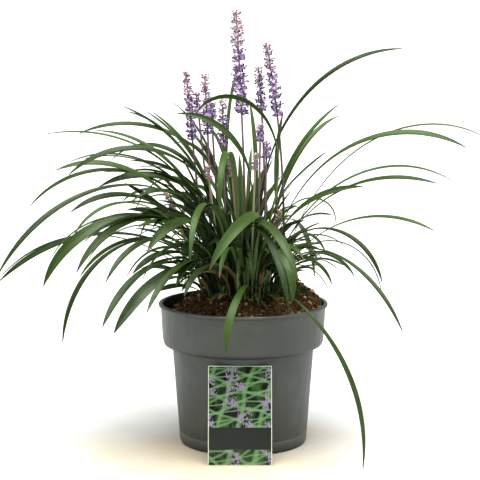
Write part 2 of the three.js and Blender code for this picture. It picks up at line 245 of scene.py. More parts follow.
@dataclass(frozen=True)
class Finish:
    """What a surface is made of, with the shader values that are the same all over it."""

    name: str
    roughness: float
    ior: float = 1.45
    specular: float = 0.5

    def material(self) -> bpy.types.Material:
        """Builds the material, with its steady values on the shader's own sockets.

        Returns:
            The finished material.
        """
        material = bpy.data.materials.new(self.name)
        material.use_nodes = True
        wiring = Wiring(material.node_tree, "Principled BSDF")
        steady = {"Roughness": self.roughness, "IOR": self.ior}
        wiring.shade({**steady, "Specular IOR Level": self.specular})
        self.dress(wiring)
        return material

    def dress(self, wiring: Wiring) -> None:
        """Wires what differs from place to place; each kind of finish has its own."""
        raise NotImplementedError


@dataclass(frozen=True)
class LeafFinish(Finish):
    """The skin of a strap leaf: waxy cuticle over long parallel veins.

    The eye gets a satin streak down each half of the folded blade, fine lines along it, painted
    shade that darkens the lower part of every blade, a yellowish foot on the paler leaves, and here
    and there a scorched end.
    """

    deep: str = "091304"
    fresh: str = "526c33"
    foot: str = "9aa24f"
    vein_lift: float = 0.45
    veins: float = 6.0  # real ones are 1 mm apart, drawn up to 2 mm apart so that they show
    scorched: str = "6e5640"
    straw: tuple[str, str] = ("503a26", "9c8462")

    def dress(self, wiring: Wiring) -> None:
        """Wires the skin; it reads the "blade" and "scorch" attributes of a leaf.

        Args:
            wiring: The material's nodes.
        """
        across, along, tone, dry = wiring.numbers("blade")
        scorch = wiring.number("scorch")

        # Mottling drawn out along the blade: about 3 mm across and 20 mm long.
        axes = enumerate(((across, 3.0), (along, 14.0), (tone, 90.0)))
        spots = {i: wiring.calculate("MULTIPLY", axis, scale) for i, (axis, scale) in axes}
        mottle = wiring.clouds(wiring.add("CombineXYZ", spots).outputs[0], 1.0, 3.0, 0.6)
        vein = wiring.calculate("SINE", wiring.calculate("MULTIPLY", across, self.veins * math.tau))
        rib = wiring.rescale(vein, -1.0, 1.0, 0.0, self.vein_lift)

        # Tone of the leaf and mottling together choose between the two greens.
        raised = wiring.calculate("MULTIPLY_ADD", tone, 0.75, rib)
        mottled = wiring.calculate("MULTIPLY_ADD", mottle, 0.9, raised, clamped=True)
        lowered = wiring.calculate("SUBTRACT", mottled, 0.45, clamped=True)
        # Painted shade: the lower part, deep in the clump, is darkened as if the leaves round it
        # shaded it.
        painted_foot_shade = wiring.rescale(along, 0.1, 0.45, 0.25, 1.0)
        green = wiring.blend(wiring.calculate("MULTIPLY", lowered, painted_foot_shade), self.deep, self.fresh)
        # Only the paler leaves also have a yellowish foot.
        palest = wiring.rescale(tone, 0.8, 1.0, 0.0, 0.8)
        rooted = wiring.blend(wiring.rescale(along, 0.1, 0.6, palest, 0.0), green, self.foot)

        # A scorched end has a ragged border.
        ragged = wiring.calculate("MULTIPLY_ADD", mottle, 0.02, along)
        burnt = wiring.rescale(wiring.calculate("ADD", ragged, scorch), 1.005, 1.02)
        tipped = wiring.blend(burnt, rooted, self.scorched)
        skin = wiring.blend(dry, tipped, wiring.blend(mottle, *self.straw))
        wiring.shade({"Base Color": skin, "Normal": wiring.bump(vein, 0.35, 0.2 * MM)})


@dataclass(frozen=True)
class StemFinish(Finish):
    """A flower stem: a smooth fleshy stalk, green low down and flushed brown-purple in the light."""

    low: str = "59623a"
    high: str = "77646a"

    def dress(self, wiring: Wiring) -> None:
        """Wires the skin; it reads the "along" attribute of a stem.

        Args:
            wiring: The material's nodes.
        """
        blotch = wiring.clouds(wiring.place(), 160.0, 2.0)
        share = wiring.calculate("MULTIPLY_ADD", blotch, 0.5, wiring.number("along"), clamped=True)
        flush = wiring.rescale(share, 0.35, 1.0)
        wiring.shade({"Base Color": wiring.blend(flush, self.low, self.high)})


@dataclass(frozen=True)
class PetalFinish(Finish):
    """Liriope florets: soft petals, violet when open, with tan anthers.

    The eye gets dark dots, the tips of the buds, on a paler lilac, and dusky pink at the top.
    """

    violet: str = "402b57"
    lilac: str = "cdb9dc"
    young_tip: str = "5a4152"
    young_foot: str = "d8c5cb"
    anther: str = "c2a583"
    down: float = 0.25

    def dress(self, wiring: Wiring) -> None:
        """Wires the petals; they read the "floret" attribute (age, rim, tone, anther).

        Args:
            wiring: The material's nodes.
        """
        age, rim, tone, anther = wiring.numbers("floret")
        ripe = wiring.blend(wiring.calculate("MULTIPLY", rim, tone), self.violet, self.lilac)
        unripe = wiring.blend(rim, self.young_tip, self.young_foot)
        petals = wiring.blend(anther, wiring.blend(age, unripe, ripe), self.anther)
        wiring.shade({"Sheen Weight": self.down, "Base Color": petals})


@dataclass(frozen=True)
class MouldedPolypropylene(Finish):
    """Recycled polypropylene, injection moulded: even slate grey with a fine tool grain.

    The eye gets a broad soft sheen, faint vertical drag marks from the mould and a little dust.
    """

    grey: str = "494d4a"
    dust: str = "6a6b69"

    def dress(self, wiring: Wiring) -> None:
        """Wires the grey on Object coordinates.

        Args:
            wiring: The material's nodes.
        """
        where = wiring.place()
        dusty = wiring.rescale(wiring.clouds(where, 28.0, 5.0, 0.65), 0.5, 0.85, 0.0, 0.35)
        # Drag marks: 5 mm wide and ten times as long.
        drawn = wiring.add("Mapping", {"Vector": where, "Scale": (200.0, 200.0, 18.0)})
        drag = wiring.clouds(drawn.outputs[0], 1.0, 2.0)
        sheen = wiring.rescale(drag, 0.3, 0.7, self.roughness - 0.06, self.roughness + 0.08)
        # Tool grain: 0.8 mm, where the real one is about 0.1 mm.
        grain = wiring.bump(wiring.clouds(where, 1200.0, 2.0), 0.25, 0.1 * MM)
        body = wiring.blend(dusty, self.grey, self.dust)
        wiring.shade({"Base Color": body, "Roughness": sheen, "Normal": grain})


@dataclass(frozen=True)
class PottingMix(Finish):
    """Moist peat with composted bark: dark and dull, with paler fibres and chips of bark in it."""

    peat: str = "35281a"
    bark: str = "7c6547"
    chip: str = "c0ab84"

    def dress(self, wiring: Wiring) -> None:
        """Wires the mix; it reads the "grit" attribute, which is pale on chips and straw.

        Args:
            wiring: The material's nodes.
        """
        # Crumb of about 3 mm, with finer speckle in it.
        crumb = wiring.clouds(wiring.place(), 330.0, 6.0, 0.75)
        ground = wiring.blend(wiring.rescale(crumb, 0.42, 0.7), self.peat, self.bark)
        whole = wiring.blend(wiring.number("grit"), ground, self.chip)
        wiring.shade({"Base Color": whole, "Normal": wiring.bump(crumb, 0.8, 1.0 * MM)})


@dataclass(frozen=True)
class PrintedFace(Finish):
    """Gloss print on a plastic card: a plain pattern of green straps and lilac specks on dark green.

    It has a thin pale frame line and one bare dark band, and no words, picture or mark. Its
    measures are shares of the card's width or length.
    """

    shade: str = "10180d"
    middle: str = "3d5a30"
    light: str = "6b8a62"
    speck: str = "8c739c"
    band: str = "252822"
    frame_line: str = "aeb8a4"
    band_level: float = 0.27
    half_band: float = 0.11
    frame_across: float = 0.486
    frame_along: float = 0.491
    # The turn in degrees, the scale and the bend of each set of straps.
    straps: tuple[tuple[float, float, float], ...] = (
        (62, 1.7, 5.0),
        (118, 1.3, 7.0),
        (82, 2.2, 5.0),
        (20, 0.9, 9.0),
    )

    def dress(self, wiring: Wiring) -> None:
        """Wires the print on the card's own UV map.

        Args:
            wiring: The material's nodes.
        """
        where = wiring.place("UV")
        ground = wiring.rescale(wiring.clouds(where, 7.0, 4.0, 0.5, 0.6), 0.42, 0.66)
        picture = wiring.blend(ground, self.shade, self.middle)
        # The sets of straps cross each other, each strap 2 to 4 mm wide.
        for turn, scale, bend in self.straps:
            pose = {"Rotation": (0.0, 0.0, math.radians(turn)), "Scale": (1.0, 1.6, 1.0)}
            turned = wiring.add("Mapping", {"Vector": where, **pose}).outputs[0]
            wave = {"Scale": scale, "Distortion": bend, "Detail": 2.0, "Detail Scale": 0.6}
            strap = wiring.add("TexWave", {"Vector": turned, **wave}).outputs["Fac"]
            picture = wiring.blend(wiring.rescale(strap, 0.84, 1.0, 0.0, 0.7), picture, self.light)
        dots = wiring.add("TexVoronoi", {"Vector": where, "Scale": 38.0})
        dot = wiring.calculate("LESS_THAN", dots.outputs["Distance"], 0.46)
        patch = wiring.rescale(wiring.clouds(where, 3.6, 1.0), 0.5, 0.55)
        picture = wiring.blend(wiring.calculate("MULTIPLY", dot, patch), picture, self.speck)

        # The bare band lies across the card's lower part, and the frame line is 1 mm wide.
        across, along, _ = wiring.add("SeparateXYZ", {0: where}).outputs
        off_band = wiring.calculate("ABSOLUTE", wiring.calculate("SUBTRACT", along, self.band_level))
        in_band = wiring.calculate("LESS_THAN", off_band, self.half_band)
        picture = wiring.blend(in_band, picture, self.band)
        edges = []
        for axis, limit in ((across, self.frame_across), (along, self.frame_along)):
            outward = wiring.calculate("ABSOLUTE", wiring.calculate("SUBTRACT", axis, 0.5))
            edges.append(wiring.calculate("GREATER_THAN", outward, limit))
        picture = wiring.blend(wiring.calculate("MAXIMUM", *edges), picture, self.frame_line)
        wiring.shade({"Base Color": picture})


@dataclass(frozen=True)
class CardStock(Finish):
    """The unprinted back and edges of a plastic card: white with a soft cloudiness."""

    white: str = "e8e9e4"
    cloud: str = "dfe0da"

    def dress(self, wiring: Wiring) -> None:
        """Wires the white on Object coordinates.

        Args:
            wiring: The material's nodes.
        """
        drift = wiring.clouds(wiring.place(), 60.0, 2.0)
        wiring.shade({"Base Color": wiring.blend(drift, self.white, self.cloud)})


@dataclass(frozen=True)
class BackdropPaper(Finish):
    """White backdrop paper, warmer and darker round the pot with soil dust and painted shadow."""

    clean: str = "bebebc"
    soiled_and_shaded: str = "b9b09d"
    patch: float = 0.38
    shift: tuple[float, float, float] = (0.02, 0.1, 0.0)  # metres from the patch to the pot

    def dress(self, wiring: Wiring) -> None:
        """Wires the paper on Object coordinates.

        Args:
            wiring: The material's nodes.
        """
        where = wiring.place()
        shifted = wiring.add("VectorMath", {0: where, 1: self.shift}, operation="ADD")
        away = wiring.add("VectorMath", {0: shifted.outputs["Vector"]}, operation="LENGTH")
        cloud = wiring.clouds(where, 9.0, 4.0)
        ragged = wiring.calculate("MULTIPLY_ADD", cloud, 0.3, away.outputs["Value"])
        # The warm patch is partly soil dust and partly painted shadow round the pot's foot.
        dust_and_shadow = wiring.rescale(ragged, 0.2, self.patch, 1.0, 0.0)
        wiring.shade({"Base Color": wiring.blend(dust_and_shadow, self.clean, self.soiled_and_shaded)})


# ---- Making pieces --------------------------------------------------------------------------------


def make_piece(
    name: str,
    mesh_work: bmesh.types.BMesh,
    materials: Sequence[bpy.types.Material],
    nodes: Sequence[str],
    crease: float = 40.0,
) -> bpy.types.Object:
    """Turns finished mesh work, in millimetres, to a piece that rides on the plant.

    Args:
        name: The piece's name.
        mesh_work: The mesh, which is freed.
        materials: Its materials, in the order of its faces' material numbers.
        nodes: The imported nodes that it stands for.
        crease: Edges that turn by more than this many degrees stay sharp.

    Returns:
        The new object.
    """
    bmesh.ops.scale(mesh_work, vec=(MM, MM, MM), verts=mesh_work.verts[:])
    mesh = bpy.data.meshes.new(name)
    mesh_work.to_mesh(mesh)
    mesh_work.free()
    for material in materials:
        mesh.materials.append(material)
    mesh.shade_smooth()
    mesh.set_sharp_from_angle(angle=math.radians(crease))
    piece = bpy.data.objects.new(name, mesh)
    bpy.context.scene.collection.objects.link(piece)
    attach(piece, "root")
    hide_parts(*nodes)
    log.info("%s: %d faces", name, len(mesh.polygons))
    return piece


def spin(work: bmesh.types.BMesh, section: Sequence[tuple[float, float]], steps: int) -> None:
    """Turns a section once round the upright axis.

    Args:
        work: The mesh that takes it.
        section: Points of radius and height.
        steps: Faces round it.
    """
    verts = [work.verts.new((radius, 0, height)) for radius, height in section]
    edges = [work.edges.new(pair) for pair in zip(verts, verts[1:])]
    bmesh.ops.spin(
        work,
        geom=verts + edges,
        axis=(0, 0, 1),
        cent=(0, 0, 0),
        steps=steps,
        angle=math.tau,
        use_merge=True,
    )
    bmesh.ops.remove_doubles(work, verts=work.verts[:], dist=0.001)
    bmesh.ops.recalc_face_normals(work, faces=work.faces[:])


def facing(place: Vector, way: Vector) -> Matrix:
    """The pose of something whose middle is at a place and whose own Z axis points one way."""
    return Matrix.Translation(place) @ way.to_track_quat("Z", "Y").to_matrix().to_4x4()


def add_tube(
    work: bmesh.types.BMesh,
    place: Callable[[float], Vector],
    radius: Callable[[float], float],
    sides: int,
    steps: int,
) -> list[bmesh.types.BMVert]:
    """Adds an upright tube with closed ends, bent along a line.

    Args:
        work: The mesh that takes it.
        place: The line's point at a share from 0 to 1.
        radius: The tube's radius at that share.
        sides: Faces round it.
        steps: Rings along it.

    Returns:
        Its vertices.
    """
    before = set(work.verts)
    bmesh.ops.create_cone(
        work, cap_ends=True, segments=sides, radius1=1.0, radius2=1.0, depth=1.0
    )
    fresh = [v for v in work.verts if v not in before]
    risers = {e for v in fresh for e in v.link_edges if abs(e.verts[0].co.z - e.verts[1].co.z) > 0.5}
    bmesh.ops.subdivide_edges(work, edges=list(risers), cuts=steps - 1)
    tube = [v for v in work.verts if v not in before]
    for vert in tube:
        share = vert.co.z + 0.5
        spot = place(share)
        girth = radius(share)
        vert.co = Vector((spot.x + girth * vert.co.x, spot.y + girth * vert.co.y, spot.z))
    return tube


# ---- Pot ------------------------------------------------------------------------------------------


@dataclass
class NurseryPot:
    """A moulded pot with a deep rim band, an outward lip and six drain holes in its floor."""

    height: float = 159.0
    lip_radius: float = 95.0
    band_top_radius: float = 92.5
    band_foot_radius: float = 90.5
    band_foot_height: float = 114.0
    body_top_radius: float = 79.5
    body_top_height: float = 109.0
    base_line_radius: float = 72.4
    base_line_height: float = 14.0
    base_radius: float = 69.5
    wall: float = 2.0
    floor: float = 2.5
    drain_holes: int = 6
    drain_radius: float = 5.0
    drain_circle: float = 52.0
    steps: int = 144
    finish: MouldedPolypropylene = field(
        default_factory=lambda: MouldedPolypropylene("moulded_polypropylene", 0.42, 1.49, 0.65)
    )

    def inner(self, outer: float) -> float:
        """The wall's inner radius behind an outer one."""
        return outer - self.wall

    def profile(self) -> list[tuple[float, float]]:
        """Gives the wall's section, from the floor's middle out, up and back down inside.

        Returns:
            Points of radius and height.
        """
        return [
            (0, 0),
            (self.base_radius - 3, 0),
            (self.base_radius - 1, 0.2),
            (self.base_radius, 0.8),
            (self.base_line_radius - 1, 3.5),
            (self.base_line_radius - 0.3, 8),
            (self.base_line_radius - 0.1, self.base_line_height - 1.2),
            (self.base_line_radius - 0.35, self.base_line_height - 0.6),
            (self.base_line_radius, self.base_line_height),
            (self.body_top_radius, self.body_top_height),
            (self.body_top_radius + 0.9, self.body_top_height + 0.9),
            (self.band_foot_radius - 8, self.band_foot_height - 3.5),
            (self.band_foot_radius - 3.5, self.band_foot_height - 2),
            (self.band_foot_radius - 1.7, self.band_foot_height - 0.9),
            (self.band_foot_radius - 0.8, self.band_foot_height + 1),
            (self.band_foot_radius, self.band_foot_height + 5),
            (self.band_top_radius, self.height - 4.5),
            (self.band_top_radius + 0.4, self.height - 3.9),
            (self.lip_radius - 0.6, self.height - 3.4),
            (self.lip_radius, self.height - 2.6),
            (self.lip_radius, self.height - 1.2),
            (self.lip_radius - 0.6, self.height - 0.4),
            (self.lip_radius - 1.6, self.height),
            (self.inner(self.band_top_radius) + 0.8, self.height),
            (self.inner(self.band_top_radius), self.height - 0.8),
            (self.inner(self.band_foot_radius), self.band_foot_height + 4),
            (self.inner(self.body_top_radius), self.body_top_height),
            (self.inner(self.base_line_radius), self.base_line_height),
            (self.inner(self.base_radius), self.floor),
            (0, self.floor),
        ]

    def drill(self, pot: bpy.types.Object) -> None:
        """Cuts the drain holes through the floor.

        Args:
            pot: The pot, whose mesh is replaced by the drilled one.
        """
        bits = bmesh.new()
        for i in range(self.drain_holes):
            turn = math.tau * i / self.drain_holes
            at = Vector((math.cos(turn), math.sin(turn), 0)) * self.drain_circle * MM
            bmesh.ops.create_cone(
                bits,
                cap_ends=True,
                segments=24,
                radius1=self.drain_radius * MM,
                radius2=self.drain_radius * MM,
                depth=20 * MM,
                matrix=Matrix.Translation(at),
            )
        mesh = bpy.data.meshes.new("drill_bits")
        bits.to_mesh(mesh)
        bits.free()
        drill = bpy.data.objects.new("drill_bits", mesh)
        bpy.context.scene.collection.objects.link(drill)
        cut = pot.modifiers.new("drain_holes", "BOOLEAN")
        cut.operation = "DIFFERENCE"
        cut.solver = "EXACT"
        cut.object = drill
        drilled = bpy.data.meshes.new_from_object(
            pot.evaluated_get(bpy.context.evaluated_depsgraph_get())
        )
        pot.modifiers.clear()
        pot.data = drilled
        pot.data.name = pot.name
        bpy.data.objects.remove(drill)

    def build(self) -> None:
        """Spins the section to the pot and drills it."""
        work = bmesh.new()
        spin(work, self.profile(), self.steps)
        self.drill(make_piece("nursery_pot", work, [self.finish.material()], ["pot"]))


# ---- Soil -----------------------------------------------------------------------------------------


@dataclass
class PottedSoil:
    """The mounded fill of potting mix, heaped on its right, with loose crumbs, chips and straw."""

    pot: NurseryPot
    gap: float = 0.3
    edge_height: float = 149.0
    crest_height: float = 170.0
    heap_x: float = 66.0
    heap_y: float = 20.0
    heap_height: float = 15.0
    heap_spread: float = 24.0
    rings: int = 44
    steps: int = 180
    crumbs: int = 1500
    straws: int = 70
    seed: int = 31
    finish: PottingMix = field(
        default_factory=lambda: PottingMix("peat_and_bark_mix", 0.95, 1.4, 0.2)
    )

    def edge(self) -> float:
        """The radius of the fill at its surface."""
        return self.pot.inner(self.pot.band_top_radius) - self.gap

    def surface(self, x: float, y: float) -> float:
        """Gives the soil's height at a place.

        Args:
            x: Distance to the right of the pot's middle.
            y: Distance behind it.

        Returns:
            The height above the floor.
        """
        outward = min(1.0, math.hypot(x, y) / self.pot.inner(self.pot.band_top_radius))
        mound = 0.5 + 0.5 * math.cos(math.pi * max(0.0, (outward - 0.5) / 0.5))
        lean = (0.05 * x + 0.03 * y) * (1 - mound)
        lumps = 1.4 * math.sin(0.13 * x + 1) * math.cos(0.11 * y)
        away = ((x - self.heap_x) ** 2 + (y - self.heap_y) ** 2) / self.heap_spread**2
        heap = self.heap_height * math.exp(-away)
        return mix(self.edge_height, self.crest_height, mound) + lean + heap + lumps * outward

    def add_fill(self, work: bmesh.types.BMesh) -> None:
        """Spins the fill and roughens its top.

        Args:
            work: The mesh that takes it.
        """
        pot = self.pot
        section = [
            (0, pot.floor + self.gap),
            (pot.inner(pot.base_radius) - self.gap - 0.5, pot.floor + self.gap),
            (pot.inner(pot.base_line_radius) - self.gap, pot.base_line_height),
            (pot.inner(pot.body_top_radius) - self.gap, pot.body_top_height),
            (pot.inner(pot.band_foot_radius) - self.gap, pot.band_foot_height + 4.3),
            (pot.inner(pot.band_foot_radius) + 0.4, self.edge_height - 6),
        ]
        top = [
            (self.edge() * 0.985 * (1 - i / self.rings), self.crest_height)
            for i in range(self.rings + 1)
        ]
        spin(work, section + top, self.steps)
        for vert in work.verts:
            if vert.co.z < self.edge_height:
                continue
            x, y = vert.co.x, vert.co.y
            coarse = noise.noise(Vector((x, y, 0)) * 0.16)
            fine = noise.noise(Vector((x, y, 9)) * 0.5)
            vert.co.z = self.surface(x, y) + 1.5 * coarse + 0.9 * fine

    def add_bits(self, work: bmesh.types.BMesh) -> None:
        """Scatters crumbs, bark chips and straw over the top.

        Args:
            work: The mesh that takes them.
        """
        grit = work.verts.layers.float.new("grit")
        draw = random.Random(self.seed)
        for i in range(self.crumbs + self.straws):
            straw = i >= self.crumbs
            radius = self.edge() * math.sqrt(draw.uniform(0.02, 1.0)) - 3.5
            turn = draw.uniform(0, math.tau)
            x, y = radius * math.cos(turn), radius * math.sin(turn)
            size = draw.uniform(0.5, 1.2) if straw else draw.uniform(0.7, 1.5) ** 2
            length = size * (draw.uniform(4, 9) if straw else draw.uniform(1.0, 2.0))
            flat = size * (0.5 if straw else draw.uniform(0.5, 1.0))
            pose = (
                Matrix.Translation((x, y, self.surface(x, y) + 0.35 * flat))
                @ Matrix.Rotation(draw.uniform(0, math.tau), 4, "Z")
                @ Matrix.Rotation(draw.gauss(0, 0.12 if straw else 0.5), 4, "Y")
                @ Matrix.Diagonal((length, size, flat, 1))
            )
            bit = bmesh.ops.create_icosphere(work, subdivisions=1, radius=1.0, matrix=pose)
            pale = draw.uniform(0.5, 1.0) if straw else draw.random() ** 5
            for vert in bit["verts"]:
                vert[grit] = pale
                shove = Vector((draw.gauss(0, 1), draw.gauss(0, 1), draw.gauss(0, 1)))
                vert.co += shove * 0.12 * size

    def build(self) -> None:
        """Makes the soil as one piece."""
        work = bmesh.new()
        self.add_fill(work)
        self.add_bits(work)
        make_piece("potting_mix", work, [self.finish.material()], ["soil"], 50)


# ---- Flower spikes --------------------------------------------------------------------------------


class Bloom(Enum):
    """How far a spike has come."""

    FLOWER = "flower"
    BUD = "bud"


@dataclass(frozen=True)
class Spike:
    """One flower spike: a bare stem that bends as one curve, and a head of whorled florets."""

    azimuth: float
    root: float
    waist: float
    top: float
    start: float
    tip: float
    radius: float
    bloom: Bloom = Bloom.FLOWER

    FOOT = 152.0
    STEM_RADIUS = 1.5
    WHORL_SPACING = 8.2

    def centre(self, height: float) -> tuple[float, float]:
        """Gives where the spike's middle is at one height.

        Args:
            height: Height above the floor.

        Returns:
            Its x and y.
        """
        t = (height - self.FOOT) / (self.tip - self.FOOT)
        radius = (1 - t) ** 2 * self.root + 2 * t * (1 - t) * self.waist + t * t * self.top
        turn = self.azimuth * math.pi / 180
        return radius * math.cos(turn), radius * math.sin(turn)

    def point(self, height: float) -> Vector:
        """The spike's middle at one height, as a point."""
        return Vector((*self.centre(height), height))


SPIKES = [
    Spike(180, -4, -3, 8, 368, 485, 6.6),
    Spike(15, 44, 56, 26, 366, 450, 6.4),
    Spike(45, 34, 40, 24, 371, 423, 6),
    Spike(165, 38, 54, 66, 339, 418, 5.4),
    Spike(195, 36, 36, 44, 348, 416, 5.6),
    Spike(135, 40, 56, 76, 362, 393, 5),
    Spike(135, 26, 44, 51, 360, 382, 5),
    Spike(195, 20, 20, 24, 336, 389, 6),
    Spike(315, 22, 24, 27, 340, 362, 4.6),
    Spike(345, 24, 25, 27, 320, 342, 5),
    Spike(255, 24, 20, 55, 304, 330, 3.6, Bloom.BUD),
    Spike(225, 30, 40, 56, 300, 318, 3.4, Bloom.BUD),
    Spike(285, 28, 40, 52, 312, 332, 3.6, Bloom.BUD),
    Spike(315, 38, 40, 58, 249, 270, 3.8, Bloom.BUD),
    Spike(195, 41, 58, 90, 264, 288, 3.6, Bloom.BUD),
]


@dataclass
class FlowerSpikes:
    """All stems and heads, with each floret on its own short stalk."""

    florets_per_whorl: int = 24
    petals_round: int = 6
    open_share: float = 0.25
    axis_radius: float = 1.15
    axis_tip_radius: float = 0.6
    below_tip: float = 1.5
    seed: int = 5
    flushed: StemFinish = field(
        default_factory=lambda: StemFinish("flushed_flower_stem", 0.5, 1.42, 0.3)
    )
    pale: StemFinish = field(
        default_factory=lambda: StemFinish("pale_flower_stem", 0.5, 1.42, 0.3, "66763f", "95917a")
    )
    petals: PetalFinish = field(default_factory=lambda: PetalFinish("violet_petals", 0.55, 1.4, 0.3))
    closed: PetalFinish = field(
        default_factory=lambda: PetalFinish(
            "closed_buds", 0.6, 1.4, 0.3, "7d6673", "cdb9bb", "8d7762", "d3c4a6", "d3c4a6"
        )
    )

    def build_stem(self, spike: Spike, number: str, skin: bpy.types.Material) -> None:
        """Makes one bare stem.

        Args:
            spike: The spike that it carries.
            number: Its two digits.
            skin: Its material.
        """
        work = bmesh.new()
        along = work.verts.layers.float.new("along")
        end = spike.start - 0.3
        tube = add_tube(
            work,
            lambda share: spike.point(mix(Spike.FOOT, end, share)),
            lambda share: mix(Spike.STEM_RADIUS, 0.72 * Spike.STEM_RADIUS, share),
            10,
            18,
        )
        for vert in tube:
            vert[along] = (vert.co.z - Spike.FOOT) / (end - Spike.FOOT)
        name = "flower_stem_" + number
        make_piece("scape_" + number, work, [skin], [name], 60)

    def add_floret(
        self,
        work: bmesh.types.BMesh,
        seat: Vector,
        way: Vector,
        size: float,
        age: float,
        opened: bool,
        tone: float,
    ) -> None:
        """Adds one floret: a star-shaped cup when open, an egg-shaped bud when not.

        Args:
            work: The head's mesh.
            seat: The floret's middle.
            way: The way it faces.
            size: Its radius.
            age: 0 for a young bud, 1 for one in full colour.
            opened: Whether its petals are spread.
            tone: How pale its petals' rims are, 0 to 1.
        """
        layer = work.verts.layers.float_color["floret"]
        pose = facing(seat, way)
        if not opened:
            bud = bmesh.ops.create_uvsphere(
                work,
                u_segments=8,
                v_segments=6,
                radius=size,
                matrix=pose @ Matrix.Diagonal((0.85, 0.85, 1.15, 1)),
            )
            for vert in bud["verts"]:
                outward = (vert.co - seat).dot(way) / size
                vert[layer] = (age, clamp(0.55 - outward), 0.6 + 0.4 * tone, 0)
            return
        cup = bmesh.ops.create_cone(
            work,
            cap_ends=True,
            cap_tris=True,
            segments=2 * self.petals_round,
            radius1=0.0,
            radius2=1.0,
            depth=1.0,
        )
        rim = [v for v in cup["verts"] if v.co.z > 0 and v.co.xy.length > 0.5]
        for vert in cup["verts"]:
            if vert in rim:
                step = round(math.atan2(vert.co.y, vert.co.x) / (math.pi / self.petals_round))
                reach = 1.15 if step % 2 else 0.62
                vert.co = Vector((vert.co.x * reach, vert.co.y * reach, 0.35 if step % 2 else 0.1))
                vert[layer] = (age, 1, 0.5 + 0.5 * tone, 0)
            elif vert.co.z > 0:
                vert.co = Vector((0, 0, 0.05))
                vert[layer] = (age, 0.5, tone, 0.45)
            else:
                vert.co = Vector((0, 0, -0.75))
                vert[layer] = (age, 0.2, tone, 0)
            vert.co = pose @ (vert.co * size)

    def build_head(self, spike: Spike, number: str, skins: list[bpy.types.Material]) -> None:
        """Makes one head: its axis, then whorl by whorl its florets on their stalks.

        Args:
            spike: The spike that it crowns.
            number: Its two digits.
            skins: The petals' material, then the axis's.
        """
        draw = random.Random(100 * self.seed + int(number))
        work = bmesh.new()
        layer = work.verts.layers.float_color.new("floret")
        along = work.verts.layers.float.new("along")
        length = spike.tip - spike.start
        # Long heads are fuller than those shorter than 60 mm.
        fullness = mix(0.96, 1.2, clamp((length - 60) / 50))
        axis = add_tube(
            work,
            lambda share: spike.point(mix(spike.start, spike.tip - self.below_tip, share)),
            lambda share: mix(self.axis_radius, self.axis_tip_radius, share),
            8,
            12,
        )
        for vert in axis:
            vert[along] = 1.0
        whorls = max(2, math.floor(length / Spike.WHORL_SPACING + 0.5))
        open_share = self.open_share if spike.bloom is Bloom.FLOWER else 0.0
        for i in range(whorls):
            reach = fullness * mix(spike.radius, 0.62 * spike.radius, (i / whorls) ** 1.4)
            reach *= mix(1.0, 0.6, max(0.0, 7 * i / whorls - 6))  # the last seventh draws in
            ripeness = 1 - i / whorls
            for j in range(self.florets_per_whorl):
                turn = math.tau * (j / self.florets_per_whorl + 0.4 * i) + draw.uniform(-0.3, 0.3)
                level = (i + draw.uniform(0.0, 0.9)) / whorls
                root = spike.point(spike.start + (length - self.below_tip) * level)
                way = Vector((math.cos(turn), math.sin(turn), draw.uniform(0.0, 0.5))).normalized()
                opened = draw.random() < open_share * min(1, 1.9 * ripeness)
                if opened:
                    size = mix(1.6, 2.2, ripeness) * draw.uniform(0.85, 1.1)
                    spread = draw.uniform(0.5, 1.05)
                else:
                    size = mix(0.95, 1.2, ripeness) * draw.uniform(0.85, 1.15)
                    spread = draw.uniform(0.6, 1.3)
                size *= fullness
                out = max(1.2, reach * spread - 0.3 * size)
                seat = root + way * out
                age = clamp(2.6 * ripeness - 0.45 + draw.gauss(0, 0.22))
                self.add_floret(work, seat, way, size, age, opened, draw.random())
                stalk = bmesh.ops.create_cone(
                    work,
                    cap_ends=False,
                    segments=4,
                    radius1=0.45,
                    radius2=0.35,
                    depth=out,
                    matrix=facing(root + way * out / 2, way),
                )
                for vert in stalk["verts"]:
                    vert[layer] = (age, 1, 0.7, 0)
        crown = bmesh.ops.create_icosphere(
            work,
            subdivisions=2,
            radius=1.0,
            matrix=Matrix.Translation(spike.point(spike.tip - 1.9)) @ Matrix.Diagonal((1, 1, 1.8, 1)),
        )
        for vert in crown["verts"]:
            vert[layer] = (0, 0.8, 0.5, 0)
        for face in work.faces:
            face.material_index = 1 if all(v[along] > 0.5 for v in face.verts) else 0
        make_piece("head_" + number, work, skins, ["flower_head_" + number], 70)

    def build(self) -> None:
        """Makes every spike."""
        flushed, pale = self.flushed.material(), self.pale.material()
        petals, closed = self.petals.material(), self.closed.material()
        for i, spike in enumerate(SPIKES):
            number = f"{i + 1:02d}"
            in_flower = spike.bloom is Bloom.FLOWER
            stem = flushed if in_flower else pale
            self.build_stem(spike, number, stem)
            self.build_head(spike, number, [petals if in_flower else closed, stem])


# ---- Leaves ---------------------------------------------------------------------------------------


class Place(NamedTuple):
    """A place on a leaf's centreline, with the slope and heading of the leaf there."""

    x: float
    y: float
    z: float
    slope: float
    heading: float
    share: float


